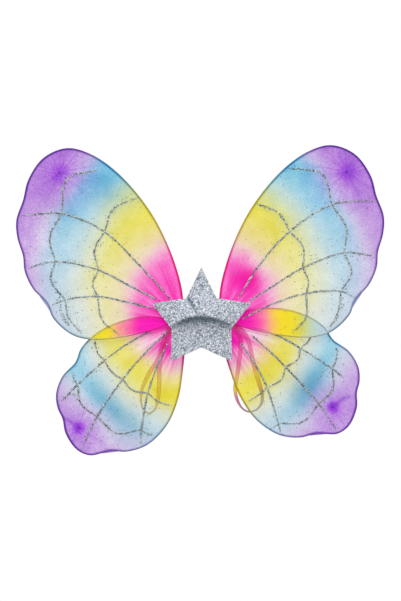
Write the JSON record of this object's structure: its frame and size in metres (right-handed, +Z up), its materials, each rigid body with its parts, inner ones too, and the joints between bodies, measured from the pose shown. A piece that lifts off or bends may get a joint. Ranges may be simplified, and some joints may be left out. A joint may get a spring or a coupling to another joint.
{
  "type": "fairy wings",
  "caption": "Dress-up wings: sheer nylon over bent wire loops with glitter veins, folding and fanning about a wrapped middle with a glitter star, a felt pad and elastic arm loops.",
  "frame": {"origin": "middle of the felt pad's back face, which lies against the wearer's back", "axes": "+X along the span towards the right-hand wing seen from the front, +Y out of the pad's back face towards the wearer, +Z up; the star faces -Y"},
  "size_m": [0.4778, 0.0186, 0.4031],
  "materials": {
    "wire": "satin",
    "nylon": "satin",
    "glitter": "gloss",
    "star_foam": "satin",
    "felt": "matte",
    "thread": "matte",
    "tape": "satin",
    "glue": "satin",
    "elastic": "matte"
  },
  "bodies": {
    "middle": {"glitter_star": "star_foam", "binding_wrap": "tape", "back_pad": "felt", "star_glue": "glue", "pad_glue": "glue", "left_upper_wire_tail": "wire", "left_lower_wire_tail": "wire", "right_upper_wire_tail": "wire", "right_lower_wire_tail": "wire"},
    "left_knot": {"left_root_knot": "thread", "left_strap_tack": "thread"},
    "left_upper_wing": {"left_upper_wire_loop": "wire", "left_upper_nylon_sleeve": "nylon", "left_upper_glitter_veins": "glitter", "left_upper_toe_tie": "thread"},
    "left_lower_wing": {"left_lower_wire_loop": "wire", "left_lower_nylon_sleeve": "nylon", "left_lower_glitter_veins": "glitter", "left_lower_toe_tie": "thread"},
    "left_loop": {"left_arm_loop": "elastic"},
    "right_knot": {"right_root_knot": "thread", "right_strap_tack": "thread"},
    "right_upper_wing": {"right_upper_wire_loop": "wire", "right_upper_nylon_sleeve": "nylon", "right_upper_glitter_veins": "glitter", "right_upper_toe_tie": "thread"},
    "right_lower_wing": {"right_lower_wire_loop": "wire", "right_lower_nylon_sleeve": "nylon", "right_lower_glitter_veins": "glitter", "right_lower_toe_tie": "thread"},
    "right_loop": {"right_arm_loop": "elastic"}
  },
  "joints": [
    {"name": "left_fold", "type": "hinge", "parent": "middle", "child": "left_knot", "pos_m": [-0.0215, -0.0094, 0], "axis": [0, 0, 1], "range_deg": [-85, 3]},
    {"name": "left_upper_fan", "type": "hinge", "parent": "left_knot", "child": "left_upper_wing", "pos_m": [-0.0215, -0.0094, 0], "axis": [0, 1, 0], "range_deg": [-8, 8]},
    {"name": "left_lower_fan", "type": "hinge", "parent": "left_knot", "child": "left_lower_wing", "pos_m": [-0.0215, -0.0094, 0], "axis": [0, 1, 0], "range_deg": [-8, 8]},
    {"name": "left_loop_swing", "type": "hinge", "parent": "left_knot", "child": "left_loop", "pos_m": [-0.0255, -0.0015, 0.0015], "axis": [1, 0, 0], "range_deg": [0, 90]},
    {"name": "right_fold", "type": "hinge", "parent": "middle", "child": "right_knot", "pos_m": [0.0215, -0.0094, 0], "axis": [0, 0, -1], "range_deg": [-85, 3]},
    {"name": "right_upper_fan", "type": "hinge", "parent": "right_knot", "child": "right_upper_wing", "pos_m": [0.0215, -0.0094, 0], "axis": [0, -1, 0], "range_deg": [-8, 8]},
    {"name": "right_lower_fan", "type": "hinge", "parent": "right_knot", "child": "right_lower_wing", "pos_m": [0.0215, -0.0094, 0], "axis": [0, -1, 0], "range_deg": [-8, 8]},
    {"name": "right_loop_swing", "type": "hinge", "parent": "right_knot", "child": "right_loop", "pos_m": [0.0255, -0.0015, 0.0015], "axis": [1, 0, 0], "range_deg": [0, 90]}
  ]
}
